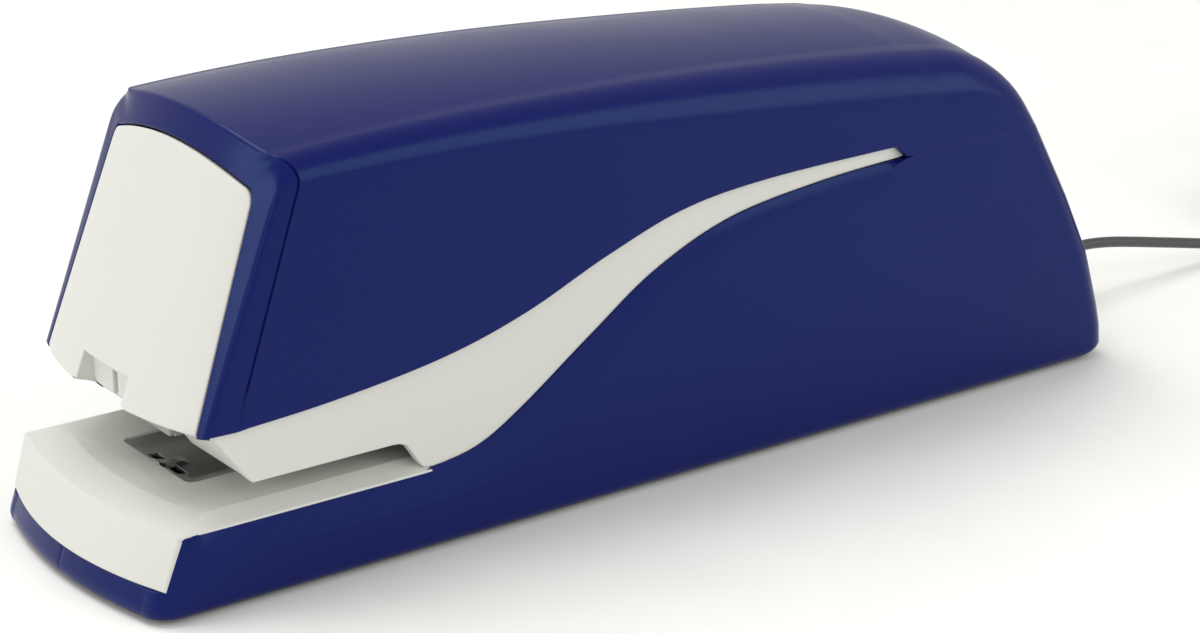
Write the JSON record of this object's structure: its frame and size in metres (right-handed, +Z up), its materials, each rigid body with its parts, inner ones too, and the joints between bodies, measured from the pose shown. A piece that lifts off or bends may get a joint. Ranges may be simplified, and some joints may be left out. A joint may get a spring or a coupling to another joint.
{
  "type": "electric stapler",
  "caption": "Desktop electric stapler: rounded head with a pull-out staple magazine over a paper tray, cam-driven driver, battery bay, and a thin lead with a power adapter.",
  "frame": {"origin": "centre of the underside's bounding box, on the plane that the feet stand on, measured without the lead", "axes": "+X across, to the right for someone who faces the paper mouth; +Y along the stapler from the paper mouth to the rear; +Z up"},
  "size_m": [0.0512, 0.3715, 0.0697],
  "materials": {
    "blue_plastic": "satin",
    "white_plastic": "fine satin",
    "black_plastic": "matte",
    "rubber_feet": "matte",
    "cord_grey": "satin",
    "gear_white": "moulded nylon",
    "board_green": "satin",
    "cell_green": "gloss",
    "steel": "satin",
    "dark_steel": "satin",
    "brass": "satin"
  },
  "bodies": {
    "housing": {"top_cover": "blue_plastic", "base_shell_right": "blue_plastic", "base_shell_left": "blue_plastic", "paper_tray": "white_plastic", "anvil_plate": "dark_steel", "middle_housing_right": "white_plastic", "middle_housing_left": "white_plastic", "lever_pin": "steel", "frame_right": "steel", "frame_left": "steel", "frame_spacer_front": "steel", "frame_spacer_rear": "steel", "motor_can": "steel", "feeler_pin": "steel", "paper_switch": "black_plastic", "battery_holder": "black_plastic", "battery_contact_front": "brass", "battery_contact_rear": "brass", "bottom_plate": "black_plastic", "circuit_board": "board_green", "dc_jack": "black_plastic", "dc_plug": "cord_grey", "lead_run": "cord_grey", "lead_coil": "cord_grey", "lead_tail": "cord_grey", "adapter_body": "black_plastic", "adapter_pin_1": "steel", "adapter_pin_2": "steel", "battery_1": "cell_green", "battery_2": "cell_green", "battery_3": "cell_green", "battery_4": "cell_green", "rubber_foot_1": "rubber_feet", "rubber_foot_2": "rubber_feet", "rubber_foot_3": "rubber_feet", "rubber_foot_4": "rubber_feet", "base_screw_1": "steel", "base_screw_2": "steel", "base_screw_3": "steel", "base_screw_4": "steel"},
    "magazine": {"front_panel": "white_plastic", "nose_plate": "white_plastic", "magazine_channel": "steel", "staple_strip": "steel"},
    "pusher": {"staple_pusher": "black_plastic", "pusher_spring": "steel"},
    "cam": {"cam_gear": "gear_white", "cam_disc": "dark_steel", "cam_shaft": "steel"},
    "second_gear": {"second_gear": "gear_white"},
    "first_gear": {"first_gear": "gear_white"},
    "motor_rotor": {"motor_pinion": "brass"},
    "lever": {"drive_lever": "dark_steel"},
    "driver": {"driver_blade": "steel", "driver_holder": "black_plastic"},
    "feeler": {"paper_feeler": "black_plastic"},
    "door": {"battery_door": "black_plastic"},
    "button": {"release_button": "black_plastic"},
    "latch": {"release_latch": "dark_steel"}
  },
  "joints": [
    {"name": "magazine_slide", "type": "slide", "parent": "housing", "child": "magazine", "axis": [0, -1, 0], "range_m": [0, 0.077]},
    {"name": "pusher_slide", "type": "slide", "parent": "magazine", "child": "pusher", "axis": [0, 1, 0], "range_m": [0, 0.024], "stiffness_N_per_m": 40, "springref_m": -0.02, "deforming": ["pusher_spring"]},
    {"name": "cam_turn", "type": "hinge", "parent": "housing", "child": "cam", "pos_m": [0, -0.028, 0.047], "axis": [1, 0, 0], "range_deg": [0, 180]},
    {"name": "second_gear_turn", "type": "hinge", "parent": "housing", "child": "second_gear", "pos_m": [0, -0.0093, 0.04303], "axis": [1, 0, 0], "range_deg": [-504, 0]},
    {"name": "first_gear_turn", "type": "hinge", "parent": "housing", "child": "first_gear", "pos_m": [0, 0.00792, 0.04303], "axis": [1, 0, 0], "range_deg": [0, 1412]},
    {"name": "motor_turn", "type": "hinge", "parent": "housing", "child": "motor_rotor", "pos_m": [0, 0.02204, 0.04303], "axis": [1, 0, 0], "range_deg": [-4234, 0]},
    {"name": "lever_turn", "type": "hinge", "parent": "housing", "child": "lever", "pos_m": [0, 0.002, 0.04], "axis": [1, 0, 0], "range_deg": [0, 8.95]},
    {"name": "driver_slide", "type": "slide", "parent": "housing", "child": "driver", "axis": [0, 0, -1], "range_m": [0, 0.01205]},
    {"name": "feeler_turn", "type": "hinge", "parent": "housing", "child": "feeler", "pos_m": [0.0077, -0.068, 0.024], "axis": [1, 0, 0], "range_deg": [0, 18], "stiffness_Nm_per_rad": 0.002, "springref_deg": -11.46},
    {"name": "door_turn", "type": "hinge", "parent": "housing", "child": "door", "pos_m": [0, -0.028, 0.00215], "axis": [-1, 0, 0], "range_deg": [0, 100]},
    {"name": "button_slide", "type": "slide", "parent": "housing", "child": "button", "axis": [0, -1, 0], "range_m": [0, 0.0022], "stiffness_N_per_m": 400, "springref_m": -0.002},
    {"name": "latch_turn", "type": "hinge", "parent": "housing", "child": "latch", "pos_m": [0, 0.005, 0.0305], "axis": [-1, 0, 0], "range_deg": [0, 12.1]}
  ],
  "couplings": [
    {"joint": "second_gear_turn", "follows": "cam_turn", "ratio": -2.8},
    {"joint": "first_gear_turn", "follows": "cam_turn", "ratio": 7.84},
    {"joint": "motor_turn", "follows": "cam_turn", "ratio": -23.52},
    {"joint": "lever_turn", "follows": "cam_turn", "ratio": 0.0496},
    {"joint": "driver_slide", "follows": "cam_turn", "m_per_rad": 0.00382},
    {"joint": "latch_turn", "follows": "button_slide", "rad_per_m": 95.2}
  ]
}
